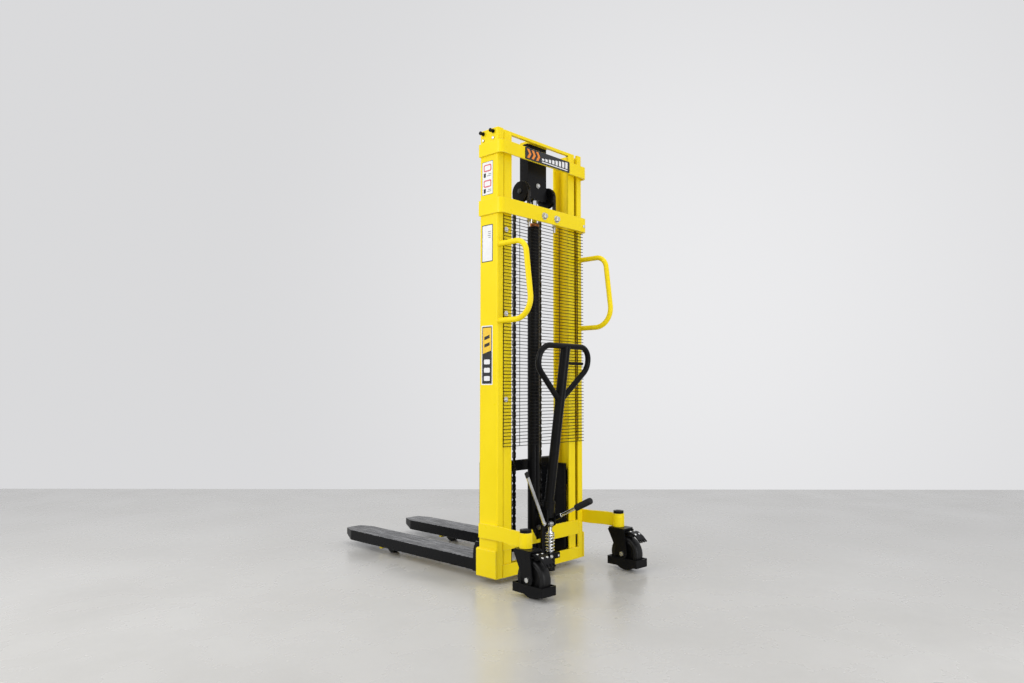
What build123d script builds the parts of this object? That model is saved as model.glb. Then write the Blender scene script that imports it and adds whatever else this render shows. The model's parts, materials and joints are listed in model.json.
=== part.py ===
from build123d import *
import os
from math import cos, radians, sin, tan

# Manual hydraulic fork stacker with a double mast.
# Frame while building: X across, positive to the operator's right; Y forward, the way the forks
# point; Z up from the floor. X = 0 is the middle of the mast and Y = 0 the rear face of its outer
# rails. Every solid is shifted by (-CENTRE_X, -CENTRE_Y) as it is written, which puts the origin
# on the floor under the middle of the bounding box. All lengths are in millimetres.
CENTRE_X = -3.191
CENTRE_Y = 452.317

# ---- mast ----
MAST_TOP = 2080.0
MAST_FOOT = 25.0
RAIL_DEPTH = 117.0
OUTER_TIP, OUTER_BACK = 272.0, 310.5
OUTER_WEB, OUTER_FLANGE = 9.5, 11.0
INNER_TIP, INNER_BACK = 209.0, 262.0
INNER_REAR, INNER_FRONT = 7.0, 110.0
INNER_WEB, INNER_FLANGE = 7.0, 10.0
INNER_FOOT = 45.0
BRACKET_TOP = 2065.0
RAIL_MID_Y = RAIL_DEPTH / 2

BAND_T = 9.0
BAND_REACH = 30.0
TOP_BAND = (1955.0, 2016.0)
SECOND_BAND = (1675.0, 1747.0)
BAND_BEND = 26.0
BAND_BOLT_X = (-20.0, 72.0)
BAND_BOLT_Z = 1704.0
MAST_ROLLER_R, MAST_ROLLER_W, MAST_ROLLER_Z = 46.0, 26.0, 120.0
ROLLER_W, ROLLER_PIN = 28.0, 12.0

# ---- mesh guard, grab handles, labels ----
GUARD_LOW, GUARD_LEFT, GUARD_RIGHT = 606.0, -276.0, 314.0
WIRE, WIRE_PITCH = 3.6, 15.6
UPRIGHT_X = (-273.0, -164.0, 126.0, 271.0)
FIXING_X = -259.0
FIXING_Z = (1605.0, 1215.0, 822.0)
GRAB_X, GRAB_TOP, GRAB_FOOT, GRAB_R = 297.0, 1533.0, 1180.0, 12.5
GRAB_OUT_TOP, GRAB_OUT_FOOT = -158.0, -201.0
GRAB_BENDS = (60.0, 92.0)
SIGN_LEFT, SIGN_RIGHT = -158.0, 173.0
LABEL_Z = ((1770.0, 1928.0), (1455.0, 1629.0), (888.0, 1160.0))
LIMIT_BOLT_Y, LIMIT_BOLT_Z, LIMIT_BOLT_OUT = (30.0, 95.0), 2064.0, 24.0
PAD_BOLT_Z = 2032.0

# ---- lift cylinder, pulleys and chains ----
TUBE_R, TUBE_BORE = 29.0, 22.0
TUBE_TOP = 1665.0
RAM_R = 18.0
PULLEY_X, PULLEY_Y, PULLEY_Z = 94.0, 52.0, 1825.0
PULLEY_R, PULLEY_W = 50.0, 24.0
CHAIN_W, CHAIN_T, CHAIN_PITCH = 16.0, 12.0, 19.05
CHAIN_FRONT_Y = 100.0
CHAIN_REAR_Y = 4.0
CHAIN_LOW, CHAIN_HIGH = 200.0, 1726.0
ANCHOR_Z = 1640.0

# ---- carriage and forks ----
SHANK_REAR, SHANK_FRONT = 125.0, 141.0
SHANK_TOP = 530.0
FORK_IN, FORK_OUT = 135.0, 285.0
FORK_TOP, FORK_SOLE = 88.0, 34.0
FORK_TIP = 1255.0
FORK_WALL = 8.0
FORK_SKIN = 8.0
NOSE_Y, NOSE_IN, NOSE_OUT = 1165.0, 166.0, 254.0
CARRIAGE_ROLLER_R, CARRIAGE_ROLLER_X = 40.0, 238.0
CARRIAGE_ROLLER_Z = (110.0, 430.0)

# ---- base ----
LEG_IN, LEG_OUT, LEG_TOP, LEG_SOLE, LEG_END = 158.0, 262.0, 72.0, 30.0, 930.0
LEG_WALL, LEG_NOSE, LEG_SKID = 8.0, 20.0, 19.0
LOAD_R, LOAD_W, LOAD_Y = 37.0, 46.0, 868.0

# ---- casters ----
PIVOT_X, PIVOT_Y = 338.0, -198.0
SWIVEL_LEFT, SWIVEL_RIGHT = -3.5, -3.0
TRAIL = 50.0
WHEEL_R, WHEEL_W = 80.0, 50.0
HUB_LOW, HUB_TOP = 198.0, 262.0
HUB_R, KINGPIN_R = 28.0, 15.0
ARM_T = 14.0
AXLE_R = 10.0
BRAKE_Y, BRAKE_Z = -42.0, 176.0

# ---- pump and drawbar ----
PUMP_Y = -43.0
PRESS_ARM, PRESS_ANGLE = 38.0, 25.0
HINGE_Y = PUMP_Y + PRESS_ARM * cos(radians(PRESS_ANGLE))
HINGE_Z = 219.0
PRESS_R = 14.0
PUMP_TOP = 105.0
SPRING_TOP, SPRING_R, SPRING_WIRE, SPRING_PITCH = 190.0, 20.5, 3.0, 16.0
LEAN = 8.2
SHAFT_BACK = 13.0
SHAFT_R, LOOP_R = 23.0, 13.5
LOOP_LOW, LOOP_SHOULDER, LOOP_TOP = 599.0, 759.0, 862.0
LOOP_HALF = 181.0
LEVER_HINGE = (64.0, -63.0, 247.0)
LEVER_LEAN = 27.0
PEDAL_ROOT, PEDAL_WAY = (40.0, -34.0, 252.0), (0, -0.9, 0.44)
PEDAL_R, PEDAL_LENGTH = 7.5, 235.0

# ---- running clearance on the radius of every pin that turns in a hole ----
RUN = 0.05

BASE = (Align.CENTER, Align.CENTER, Align.MIN)
os.makedirs("parts", exist_ok=True)


def box(x0, x1, y0, y1, z0, z1):
    """Rectangular block between three pairs of planes."""
    return Pos((x0 + x1) / 2, (y0 + y1) / 2, (z0 + z1) / 2) * Box(x1 - x0, y1 - y0, z1 - z0)


def bar_x(r, x0, x1, y, z):
    """Round bar along X."""
    return Pos((x0 + x1) / 2, y, z) * Rot(0, 90, 0) * Cylinder(r, x1 - x0)


def bar_y(r, x, y0, y1, z):
    """Round bar along Y."""
    return Pos(x, (y0 + y1) / 2, z) * Rot(90, 0, 0) * Cylinder(r, y1 - y0)


def bar_z(r, x, y, z0, z1):
    """Round bar along Z."""
    return Pos(x, y, (z0 + z1) / 2) * Cylinder(r, z1 - z0)


def hexagon(across, thick):
    """Hexagonal head standing on the XY plane."""
    return extrude(RegularPolygon(across / 2, 6, major_radius=False), thick)


def plate_yz(sketch, x0, x1):
    """Plate between two X planes whose outline is drawn as (Y, Z)."""
    return extrude(Plane.YZ.offset(x0) * sketch, x1 - x0)


def mirrored(shape):
    """The same piece on the other side of the mast."""
    return mirror(shape, about=Plane.YZ)


def rounded_path(points, radii):
    """Wire through the points, with each inner corner rounded to its own radius."""
    pts = [Vector(*p) for p in points]
    edges = []
    start = pts[0]
    for before, corner, after, r in zip(pts, pts[1:], pts[2:], radii):
        to_a = (before - corner).normalized()
        to_b = (after - corner).normalized()
        half = radians(to_a.get_angle(to_b) / 2)
        reach = r / tan(half)
        middle = corner + (to_a + to_b).normalized() * (r / sin(half) - r)
        edges.append(Line(start, corner + to_a * reach))
        edges.append(ThreePointArc(corner + to_a * reach, middle, corner + to_b * reach))
        start = corner + to_b * reach
    edges.append(Line(start, pts[-1]))
    return Wire(edges)


def pipe(points, radii, r):
    """Round bar swept along a path with rounded corners."""
    path = rounded_path(points, radii)
    start = Plane(origin=path @ 0, z_dir=path % 0)
    return sweep(start * Circle(r), path=path)


def channel(tip, back, y0, y1, z0, z1, web, flange, corner):
    """C-section rail on the right side, its mouth facing the middle of the mast."""
    outline = Pos((tip + back) / 2, (y0 + y1) / 2) * Rectangle(back - tip, y1 - y0)
    mouth = Rectangle(back - web - tip, y1 - y0 - 2 * flange)
    outline -= Pos((tip + back - web) / 2, (y0 + y1) / 2) * mouth
    outline = fillet(outline.vertices().filter_by_position(Axis.X, back - 1, back + 1), corner)
    throat = outline.vertices().filter_by_position(Axis.X, back - web - 1, back - web + 1)
    outline = fillet(throat, corner - 2)
    outline = fillet(outline.vertices().filter_by_position(Axis.X, tip - 1, tip + 1), 2.5)
    return extrude(Pos(0, 0, z0) * outline, z1 - z0)


def band(z0, z1):
    """Flat bar bent round the back of both outer rails and welded down their sides."""
    half = OUTER_BACK + BAND_T
    outside = Pos(0, (RAIL_DEPTH - BAND_REACH) / 2) * Rectangle(2 * half, RAIL_DEPTH + BAND_REACH)
    outside = fillet(outside.vertices().sort_by(Axis.Y)[:2], BAND_BEND)
    inside = Rectangle(2 * OUTER_BACK, RAIL_DEPTH + BAND_REACH)
    inside = Pos(0, (RAIL_DEPTH - BAND_REACH) / 2 + BAND_T) * inside
    inside = fillet(inside.vertices().sort_by(Axis.Y)[:2], BAND_BEND - BAND_T)
    return extrude(Pos(0, 0, z0) * (outside - inside), z1 - z0)


def roller(r, w, bore, crown=2.0):
    """Plain roller about X, chamfered at both rims, with a through bore."""
    solid = chamfer(Cylinder(r, w).edges(), crown) - Cylinder(bore, w)
    return Rot(0, 90, 0) * solid


def strand(x, y, z0, z1):
    """Straight run of leaf chain with waisted links."""
    wide, narrow = CHAIN_T / 2, CHAIN_T / 2 - 2
    links = max(1, round((z1 - z0) / CHAIN_PITCH))
    pitch = (z1 - z0) / links
    side = []
    for i in range(links):
        z = z0 + pitch * i
        side += [(wide, z), (wide, z + 0.7 * pitch)]
        side += [(narrow, z + 0.75 * pitch), (narrow, z + 0.95 * pitch)]
    side += [(narrow, z1)]
    other = [(-half, z) for half, z in reversed(side)]
    outline = make_face(Polyline(*side, *other, close=True))
    return plate_yz(Pos(y, 0) * outline, x - CHAIN_W / 2, x + CHAIN_W / 2)


nodes = {}

# ---- outer mast ----
rail = channel(OUTER_TIP, OUTER_BACK, 0, RAIL_DEPTH, MAST_FOOT, MAST_TOP,
               OUTER_WEB, OUTER_FLANGE, 8)
nodes["outer_rail_right"] = rail
nodes["outer_rail_left"] = mirrored(rail)
nodes["top_band"] = band(*TOP_BAND)
nodes["second_band"] = band(*SECOND_BAND)

# ---- base: floor plate, two cross plates, side boots, straddle legs ----
base = box(-OUTER_TIP, OUTER_TIP, -3, SHANK_REAR, MAST_FOOT, 37)
base += box(-OUTER_TIP, OUTER_TIP, -3, 6, MAST_FOOT, 82)
nodes["mast_base"] = base - box(-25, 25, -10, 20, 42, 90)

upper_outline = Polyline(
    (-OUTER_TIP, 146), (OUTER_TIP, 146), (OUTER_TIP, 215), (78, 215), (50, 172),
    (50, 162), (-50, 162), (-50, 172), (-78, 215), (-OUTER_TIP, 215), close=True,
)
upper = extrude(Plane.XZ * make_face(upper_outline), 9)
nodes["upper_crossmember"] = Pos(0, 6, 0) * upper

boot = box(OUTER_BACK, OUTER_BACK + 9, 0, SHANK_REAR, MAST_FOOT, 150)
nodes["boot_right"] = chamfer(boot.edges().filter_by(Axis.Y).group_by(Axis.X)[-1], 4)
nodes["boot_left"] = mirrored(nodes["boot_right"])

leg = box(LEG_IN, LEG_OUT, SHANK_REAR, LEG_END, LEG_SOLE, LEG_TOP)
nose = leg.edges().filter_by(Axis.X).group_by(Axis.Y)[-1].sort_by(Axis.Z)[-1]
leg = chamfer(nose, 20)
leg += box(LEG_IN, LEG_OUT, LEG_END - LEG_NOSE, LEG_END, LEG_SKID, LEG_SOLE + 5)
channel_x = (LEG_IN + LEG_WALL, LEG_OUT - LEG_WALL)
leg -= box(*channel_x, SHANK_REAR + 10, LEG_END - LEG_NOSE, LEG_SOLE, LEG_TOP - LEG_WALL)
leg -= box(*channel_x, LOAD_Y - LOAD_R - 5, LEG_END - LEG_NOSE, LEG_SOLE, LEG_TOP + 5)
leg += bar_x(AXLE_R, LEG_IN - 3, LEG_OUT + 3, LOAD_Y, LOAD_R)
nodes["leg_right"] = leg
nodes["leg_left"] = mirrored(leg)

# ---- caster arms: bent flat bar from the side of the mast to a bored hub ----
arm_x = OUTER_BACK + ARM_T / 2
arm_line = Polyline((arm_x, 105), (arm_x, -42), (PIVOT_X, -112), (PIVOT_X, PIVOT_Y))
arm = extrude(Pos(0, 0, HUB_LOW) * trace(arm_line, ARM_T), HUB_TOP - HUB_LOW)
arm += bar_z(HUB_R, PIVOT_X, PIVOT_Y, HUB_LOW, HUB_TOP)
arm -= bar_z(KINGPIN_R + RUN, PIVOT_X, PIVOT_Y, HUB_LOW - 5, HUB_TOP + 5)
nodes["caster_arm_right"] = arm
nodes["caster_arm_left"] = mirrored(arm)

# ---- lift cylinder ----
tube = bar_z(TUBE_R, 0, RAIL_MID_Y, 37, TUBE_TOP) - bar_z(TUBE_BORE, 0, RAIL_MID_Y, 60, TUBE_TOP)
tube += bar_z(40, 0, RAIL_MID_Y, 37, 52)
nodes["cylinder_tube"] = tube
gland = bar_z(TUBE_R - 1, 0, RAIL_MID_Y, TUBE_TOP, TUBE_TOP + 16)
gland += bar_z(TUBE_BORE, 0, RAIL_MID_Y, TUBE_TOP - 40, TUBE_TOP)
gland -= bar_z(RAM_R + RUN, 0, RAIL_MID_Y, TUBE_TOP - 50, TUBE_TOP + 20)
nodes["gland_ring"] = gland

# ---- pump: body, flange to the base, oil link to the cylinder, hinge lug, lever post ----
pump = bar_z(25, 0, PUMP_Y, 20, 78) + box(-36, 36, -76, -12, 78, PUMP_TOP)
pump += box(-45, 45, -12, -3, 30, PUMP_TOP)
pump += box(-22, 22, -12, RAIL_MID_Y - TUBE_R + 2, 45, 76)
pump += box(-20, 20, HINGE_Y - 10, HINGE_Y + 4, PUMP_TOP, HINGE_Z)
pump += bar_x(14, -20, 20, HINGE_Y, HINGE_Z)
post_x, post_y, post_z = LEVER_HINGE
pump += box(-post_x - 8, -36, -60, -48, 78, PUMP_TOP)
pump += box(-post_x - 8, -post_x + 8, -60, -48, 78, post_z)
pump += bar_y(8, -post_x, -60, -48, post_z)
pump -= bar_y(4 + RUN, -post_x, -61, -40, post_z)
pump -= bar_x(8 + RUN, -30, 30, HINGE_Y, HINGE_Z)
pump -= bar_z(10 + RUN, 0, PUMP_Y, 40, 110)
pump -= bar_z(TUBE_R, 0, RAIL_MID_Y, 37, 90) + bar_z(40, 0, RAIL_MID_Y, 37, 52)
nodes["pump_body"] = pump

plunger = bar_z(10, 0, PUMP_Y, 76, HINGE_Z) + bar_z(22, 0, PUMP_Y, SPRING_TOP, SPRING_TOP + 6)
plunger += bar_z(14, 0, PUMP_Y, SPRING_TOP + 6, SPRING_TOP + 12)
plunger += bar_z(12, 0, PUMP_Y, HINGE_Z - 6, HINGE_Z + 2)
nodes["pump_plunger"] = plunger

coil = Helix(pitch=SPRING_PITCH, height=SPRING_TOP - PUMP_TOP - 2 * SPRING_WIRE - 0.6, radius=SPRING_R)
coil_end = Plane(origin=coil @ 0, z_dir=coil % 0)
spring = sweep(coil_end * Circle(SPRING_WIRE), path=coil)
nodes["pump_spring"] = Pos(0, PUMP_Y, PUMP_TOP + SPRING_WIRE + 0.2) * spring

# ---- yoke: two cheeks, a socket for the shaft and the roller that presses the plunger ----
roll_y = -PRESS_ARM * cos(radians(PRESS_ANGLE))
roll_z = PRESS_ARM * sin(radians(PRESS_ANGLE))
tilt = Pos(0, HINGE_Y, HINGE_Z) * Rot(LEAN, 0, 0) * Pos(0, -SHAFT_BACK, 0)
circles = Sketch() + Circle(16) + Pos(roll_y, roll_z) * Circle(12) + Pos(-24, 77) * Circle(22)
cheek = Pos(HINGE_Y, HINGE_Z) * make_hull(circles.edges())
yoke = plate_yz(cheek, 22, 32) + plate_yz(cheek, -32, -22)
yoke += tilt * Cylinder(31, 75, align=BASE).moved(Pos(0, 0, 52))
yoke -= tilt * Cylinder(SHAFT_R, 80, align=BASE).moved(Pos(0, 0, 62))
yoke += bar_x(6, -32, 32, HINGE_Y + roll_y, HINGE_Z + roll_z)
yoke += bar_x(PRESS_R, -12, 12, HINGE_Y + roll_y, HINGE_Z + roll_z)
yoke += bar_x(14, 32, 46, *PEDAL_ROOT[1:])
yoke -= bar_x(8, -40, 40, HINGE_Y, HINGE_Z)
nodes["pump_yoke"] = yoke
pin = bar_x(8, -32, 36, HINGE_Y, HINGE_Z)
pin += Pos(-32, HINGE_Y, HINGE_Z) * Rot(0, -90, 0) * hexagon(21, 8)
pin += Pos(32, HINGE_Y, HINGE_Z) * Rot(0, 90, 0) * hexagon(21, 7)
nodes["hinge_pin"] = pin

# ---- drawbar: shaft and grip loop in one welded piece, finger lever inside the loop ----
shaft = Cylinder(SHAFT_R, LOOP_TOP - 62, align=BASE).moved(Pos(0, 0, 62))
loop_points = [(4, 0, LOOP_LOW + 4), (LOOP_HALF, 0, LOOP_SHOULDER), (LOOP_HALF, 0, LOOP_TOP),
               (-LOOP_HALF, 0, LOOP_TOP), (-LOOP_HALF, 0, LOOP_SHOULDER), (-4, 0, LOOP_LOW + 4)]
drawbar = tilt * (shaft + pipe(loop_points, [68, 68, 68, 68], LOOP_R))
lever_z = LOOP_TOP - 80
slot = box(0, SHAFT_R + 5, -7.5, 7.5, lever_z - 16, lever_z + 16)
drawbar -= tilt * (slot + bar_y(4, 12, -30, 30, lever_z))
nodes["drawbar"] = drawbar
lever = box(12, 140, -6, 6, lever_z - 7, lever_z + 7)
lever = fillet(lever.edges().filter_by(Axis.Y).group_by(Axis.X)[-1], 6)
lever += bar_y(7, 12, -6, 6, lever_z)
lever += bar_y(4 - RUN, 12, -19, 19, lever_z)
nodes["control_lever"] = tilt * lever

# ---- foot pedal ----
pedal_path = Plane(origin=PEDAL_ROOT, z_dir=PEDAL_WAY)
pedal = pedal_path * Cylinder(PEDAL_R, PEDAL_LENGTH, align=BASE)
nodes["foot_pedal"] = pedal - bar_x(14, 30, 46, *PEDAL_ROOT[1:])
sleeve = Cylinder(16, 100, align=BASE)
sleeve = fillet(sleeve.edges(), 5)
sleeve -= Cylinder(PEDAL_R, PEDAL_LENGTH - 150, align=BASE)
nodes["pedal_grip"] = pedal_path * Pos(0, 0, 150) * sleeve

# ---- release lever: flat bar beside the pump, leaning out to the left ----
blade = box(-8, 8, -66, -60.5, 0, 285)
blade = fillet(blade.edges().filter_by(Axis.Y), 7.5)
blade -= bar_y(4, 0, -70, -50, 12)
blade = Pos(0, 0, -12) * blade
release = Pos(-post_x, 0, post_z) * Rot(0, -LEVER_LEAN, 0) * blade
release += bar_y(4, -post_x, -68, -47, post_z) + bar_y(7, -post_x, -69, -66, post_z)
nodes["release_lever"] = release

# ---- mesh guard across the back of the mast ----
guard_top = SECOND_BAND[0]
guard_mid = (GUARD_LEFT + GUARD_RIGHT) / 2
grid = Sketch()
for i in range(int((guard_top - GUARD_LOW) / WIRE_PITCH) + 1):
    row = Pos(guard_mid, GUARD_LOW + 2 + WIRE_PITCH * i)
    grid += row * Rectangle(GUARD_RIGHT - GUARD_LEFT, WIRE)
for x in UPRIGHT_X:
    grid += Pos(x, (GUARD_LOW + guard_top) / 2) * Rectangle(4, guard_top - GUARD_LOW)
mesh = extrude(Plane.XZ * grid, 4)
for z in (GRAB_TOP, GRAB_FOOT):
    mesh -= box(GRAB_X - 15, GUARD_RIGHT + 16, -10, 5, z - 15, z + 15)
for x in (-PULLEY_X, PULLEY_X):
    mesh -= box(x - 14, x + 14, -10, 5, ANCHOR_Z, guard_top)
for z in FIXING_Z:
    mesh -= bar_y(5, FIXING_X, -10, 5, z)
nodes["mesh_guard"] = mesh

# ---- grab handles ----
grab_line = [(GRAB_X, 0, GRAB_TOP), (GRAB_X, GRAB_OUT_TOP, GRAB_TOP),
             (GRAB_X, GRAB_OUT_FOOT, GRAB_FOOT), (GRAB_X, 0, GRAB_FOOT)]
grab = pipe(grab_line, GRAB_BENDS, GRAB_R)
nodes["grab_handle_right"] = grab
nodes["grab_handle_left"] = mirrored(grab)

# ---- fixings, side screws, sign and labels ----
screws = []
for z in FIXING_Z:
    seat = Pos(FIXING_X, -4, z) * Rot(90, 0, 0)
    screws.append(bar_y(4.5, FIXING_X, -4, 0, z) + seat * Cylinder(12, 2, align=BASE)
                  + seat * Pos(0, 0, 2) * hexagon(13, 6))
for x in BAND_BOLT_X:
    seat = Pos(x, -BAND_REACH, BAND_BOLT_Z) * Rot(90, 0, 0)
    screws.append(seat * Cylinder(18, 3, align=BASE) + seat * Pos(0, 0, 3) * hexagon(24, 12))
screws.append(Pos(290, -BAND_REACH, BAND_BOLT_Z) * Rot(90, 0, 0) * Cylinder(8, 4, align=BASE))
for y in LIMIT_BOLT_Y:
    for side in (-1, 1):
        seat = Pos(side * OUTER_BACK, y, LIMIT_BOLT_Z) * Rot(0, side * 90, 0)
        shank = seat * Cylinder(5.5, LIMIT_BOLT_OUT, align=BASE)
        head = seat * Pos(0, 0, LIMIT_BOLT_OUT - 7) * hexagon(16, 7)
        screws.append(seat * hexagon(17, 7) + shank + head)
        screws.append(Pos(0, 0, PAD_BOLT_Z - LIMIT_BOLT_Z) * seat * hexagon(13, 5))
nodes["mast_fixings"] = Compound(screws)

sign = box(SIGN_LEFT, SIGN_RIGHT, -BAND_REACH - 3, -BAND_REACH, TOP_BAND[0] + 2, TOP_BAND[1] - 2)
nodes["sign_plate"] = fillet(sign.edges().filter_by(Axis.Y), 6)

labels = []
for low, high in LABEL_Z:
    label = box(-OUTER_BACK - 0.6, -OUTER_BACK, 31, 103, low, high)
    labels.append(fillet(label.edges().filter_by(Axis.X), 4))
nodes["side_labels"] = Compound(labels)

# ---- chain anchors under the second band and the short rear strands ----
anchors = []
for x in (-PULLEY_X, PULLEY_X):
    lug = box(x - 13, x + 13, -BAND_REACH + BAND_T, CHAIN_REAR_Y + 9, 1694, 1704)
    stud = bar_z(6, x, CHAIN_REAR_Y, 1646, 1722)
    nut = Pos(x, CHAIN_REAR_Y, 1682) * hexagon(18, 12)
    clevis = box(x - 6, x + 6, 0, 12, BAND_BOLT_Z, CHAIN_HIGH)
    anchors.append(lug + stud + nut + Pos(0, 0, -15) * nut + clevis)
nodes["chain_anchors"] = Compound(anchors)
rear = [strand(x, CHAIN_REAR_Y, CHAIN_HIGH, PULLEY_Z) for x in (-PULLEY_X, PULLEY_X)]
nodes["rear_chains"] = Compound(rear)

# ---- inner mast ----
rail = channel(INNER_TIP, INNER_BACK, INNER_REAR, INNER_FRONT, INNER_FOOT, MAST_TOP,
               INNER_WEB, INNER_FLANGE, 7)
rail += bar_x(ROLLER_PIN, INNER_BACK - 2, OUTER_BACK - OUTER_WEB - 2, RAIL_MID_Y, MAST_ROLLER_Z)
nodes["inner_rail_right"] = rail
nodes["inner_rail_left"] = mirrored(rail)
top_bar = box(-INNER_TIP, INNER_TIP, INNER_REAR, INNER_REAR + 16, BRACKET_TOP, MAST_TOP)
nodes["inner_top_plate"] = top_bar + box(-68, 68, INNER_REAR, 87, BRACKET_TOP, MAST_TOP)
nodes["inner_lower_tie"] = box(-INNER_TIP, INNER_TIP, INNER_FRONT - INNER_FLANGE, INNER_FRONT, INNER_FOOT, 57)

bracket = box(-68, 68, 33, 87, 1800, BRACKET_TOP) - box(-58, 58, 43, 90, 1812, BRACKET_TOP - 10)
bracket -= bar_x(12.5, -80, 80, PULLEY_Y, PULLEY_Z)
nodes["pulley_bracket"] = bracket
axle = bar_x(12.5, -112, 112, PULLEY_Y, PULLEY_Z)
nodes["pulley_axle"] = chamfer(axle.edges().filter_by(GeomType.CIRCLE), 2)

ram = bar_z(RAM_R, 0, RAIL_MID_Y, 70, 1800) + bar_z(TUBE_BORE - RUN, 0, RAIL_MID_Y, 70, 110)
nodes["lift_ram"] = ram

wheel_outline = Pos(0, 0) * Rectangle(PULLEY_R, PULLEY_W, align=(Align.MIN, Align.CENTER))
wheel_outline -= Pos(PULLEY_R - 8.4, 0) * Rectangle(9, CHAIN_W + 1, align=(Align.MIN, Align.CENTER))
wheel_outline -= Rectangle(12.5 + RUN, PULLEY_W, align=(Align.MIN, Align.CENTER))
pulley = revolve(Plane.XZ * wheel_outline, Axis.Z)
pulley = Pos(PULLEY_X, PULLEY_Y, PULLEY_Z) * Rot(0, 90, 0) * pulley
nodes["pulley_right"] = pulley
nodes["pulley_left"] = mirrored(pulley)

wrap_mid = (CHAIN_FRONT_Y - CHAIN_REAR_Y) / 2
ring = Circle(wrap_mid + CHAIN_T / 2) - Circle(wrap_mid - CHAIN_T / 2)
ring -= Rectangle(200, 100, align=(Align.CENTER, Align.MAX))
wraps = []
for x in (-PULLEY_X, PULLEY_X):
    wraps.append(plate_yz(Pos(PULLEY_Y, PULLEY_Z) * ring, x - CHAIN_W / 2, x + CHAIN_W / 2))
nodes["chain_wraps"] = Compound(wraps)
front = [strand(x, CHAIN_FRONT_Y, CHAIN_LOW, PULLEY_Z) for x in (-PULLEY_X, PULLEY_X)]
nodes["front_chains"] = Compound(front)

mast_roller = Pos((OUTER_TIP + OUTER_BACK - OUTER_WEB) / 2, RAIL_MID_Y, MAST_ROLLER_Z)
mast_roller = mast_roller * roller(MAST_ROLLER_R, MAST_ROLLER_W, ROLLER_PIN + RUN)
nodes["mast_roller_right"] = mast_roller
nodes["mast_roller_left"] = mirrored(mast_roller)

# ---- carriage ----
frame = box(-262, 262, 112, SHANK_REAR, 476, 527) + box(-262, 262, 112, SHANK_REAR, 95, 165)
for side in (-1, 1):
    cheek_x = sorted((side * 190, side * 204))
    frame += box(*cheek_x, 22, SHANK_REAR, 60, 500)
    for z in CARRIAGE_ROLLER_Z:
        pin_x = sorted((side * 192, side * (INNER_BACK - INNER_WEB - 2)))
        frame += bar_x(ROLLER_PIN, *pin_x, RAIL_MID_Y, z)
    frame += box(side * PULLEY_X - 13, side * PULLEY_X + 13, 88, SHANK_REAR, 150, 165)
    frame += bar_z(6, side * PULLEY_X, CHAIN_FRONT_Y, 140, CHAIN_LOW)
    frame += Pos(side * PULLEY_X, CHAIN_FRONT_Y, 166) * hexagon(18, 12)
nodes["carriage_frame"] = frame

for name, z in zip(("lower", "upper"), CARRIAGE_ROLLER_Z):
    place = Pos(CARRIAGE_ROLLER_X, RAIL_MID_Y, z)
    wheel = place * roller(CARRIAGE_ROLLER_R, ROLLER_W, ROLLER_PIN + RUN)
    nodes[f"carriage_roller_{name}_right"] = wheel
    nodes[f"carriage_roller_{name}_left"] = mirrored(wheel)

plan = make_face(Polyline(
    (FORK_IN, SHANK_REAR), (FORK_OUT, SHANK_REAR), (FORK_OUT, NOSE_Y), (NOSE_OUT, FORK_TIP),
    (NOSE_IN, FORK_TIP), (FORK_IN, NOSE_Y), close=True,
))
plan = fillet(plan.vertices().sort_by(Axis.Y)[-2:], 30)
plan = fillet(plan.vertices().filter_by_position(Axis.Y, NOSE_Y - 1, NOSE_Y + 1), 60)
profile = make_face(Polyline(
    (SHANK_REAR, FORK_SOLE), (NOSE_Y, FORK_SOLE), (FORK_TIP, 58), (FORK_TIP, 80), (1246, FORK_TOP),
    (SHANK_REAR, FORK_TOP), close=True,
))
fork = extrude(plan, 100) & plate_yz(profile, FORK_IN, FORK_OUT)
hollow = extrude(offset(plan, -FORK_WALL), FORK_TOP - FORK_SKIN)
fork -= hollow & box(FORK_IN, FORK_OUT, SHANK_REAR, NOSE_Y - 10, 0, 100)
fork -= box(FORK_IN + FORK_WALL, FORK_OUT - FORK_WALL, 100, 200, 0, FORK_TOP - FORK_SKIN)
fork += box(FORK_IN, FORK_OUT, SHANK_REAR, SHANK_FRONT, FORK_TOP, SHANK_TOP)
gusset = make_face(Polyline(
    (SHANK_REAR, FORK_SOLE - 4), (186, FORK_SOLE - 4), (180, 130), (166, 167), (SHANK_REAR, 167),
    close=True,
))
fork += plate_yz(gusset, FORK_IN, FORK_IN + FORK_WALL)
fork += plate_yz(gusset, FORK_OUT - FORK_WALL, FORK_OUT)
nodes["fork_right"] = fork
nodes["fork_left"] = mirrored(fork)

load = Pos((LEG_IN + LEG_OUT) / 2, LOAD_Y, LOAD_R) * roller(LOAD_R, LOAD_W, AXLE_R + RUN, 4)
nodes["load_roller_right"] = load
nodes["load_roller_left"] = mirrored(load)

# ---- casters, drawn about the swivel axis and trailing to the rear ----
top_plate = box(-38, 38, -62, 36, HUB_LOW - 8.5, HUB_LOW - 0.5)
top_plate = fillet(top_plate.edges().filter_by(Axis.Z), 10)
leg_outline = Sketch() + Pos(-TRAIL, WHEEL_R) * Circle(26)
leg_outline += Pos(-13, HUB_LOW - 10) * Rectangle(98, 4)
leg_outline = make_hull(leg_outline.edges())
caster = top_plate + plate_yz(leg_outline, 32, 38) + plate_yz(leg_outline, -38, -32)
caster += bar_z(KINGPIN_R, 0, 0, HUB_LOW - 2, HUB_TOP + 0.5)
caster += bar_z(25, 0, 0, HUB_TOP + 0.5, HUB_TOP + 10)
skirt = box(-43, 43, -TRAIL - 88, -TRAIL + 88, 22, 60)
skirt = fillet(skirt.edges().filter_by(Axis.Z), 4)
caster += skirt - box(-38, 38, -TRAIL - 83, -TRAIL + 83, 0, 90)
caster += bar_x(AXLE_R, -38, 38, -TRAIL, WHEEL_R)
caster += Pos(38, -TRAIL, WHEEL_R) * Rot(0, 90, 0) * hexagon(19, 8)
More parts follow.
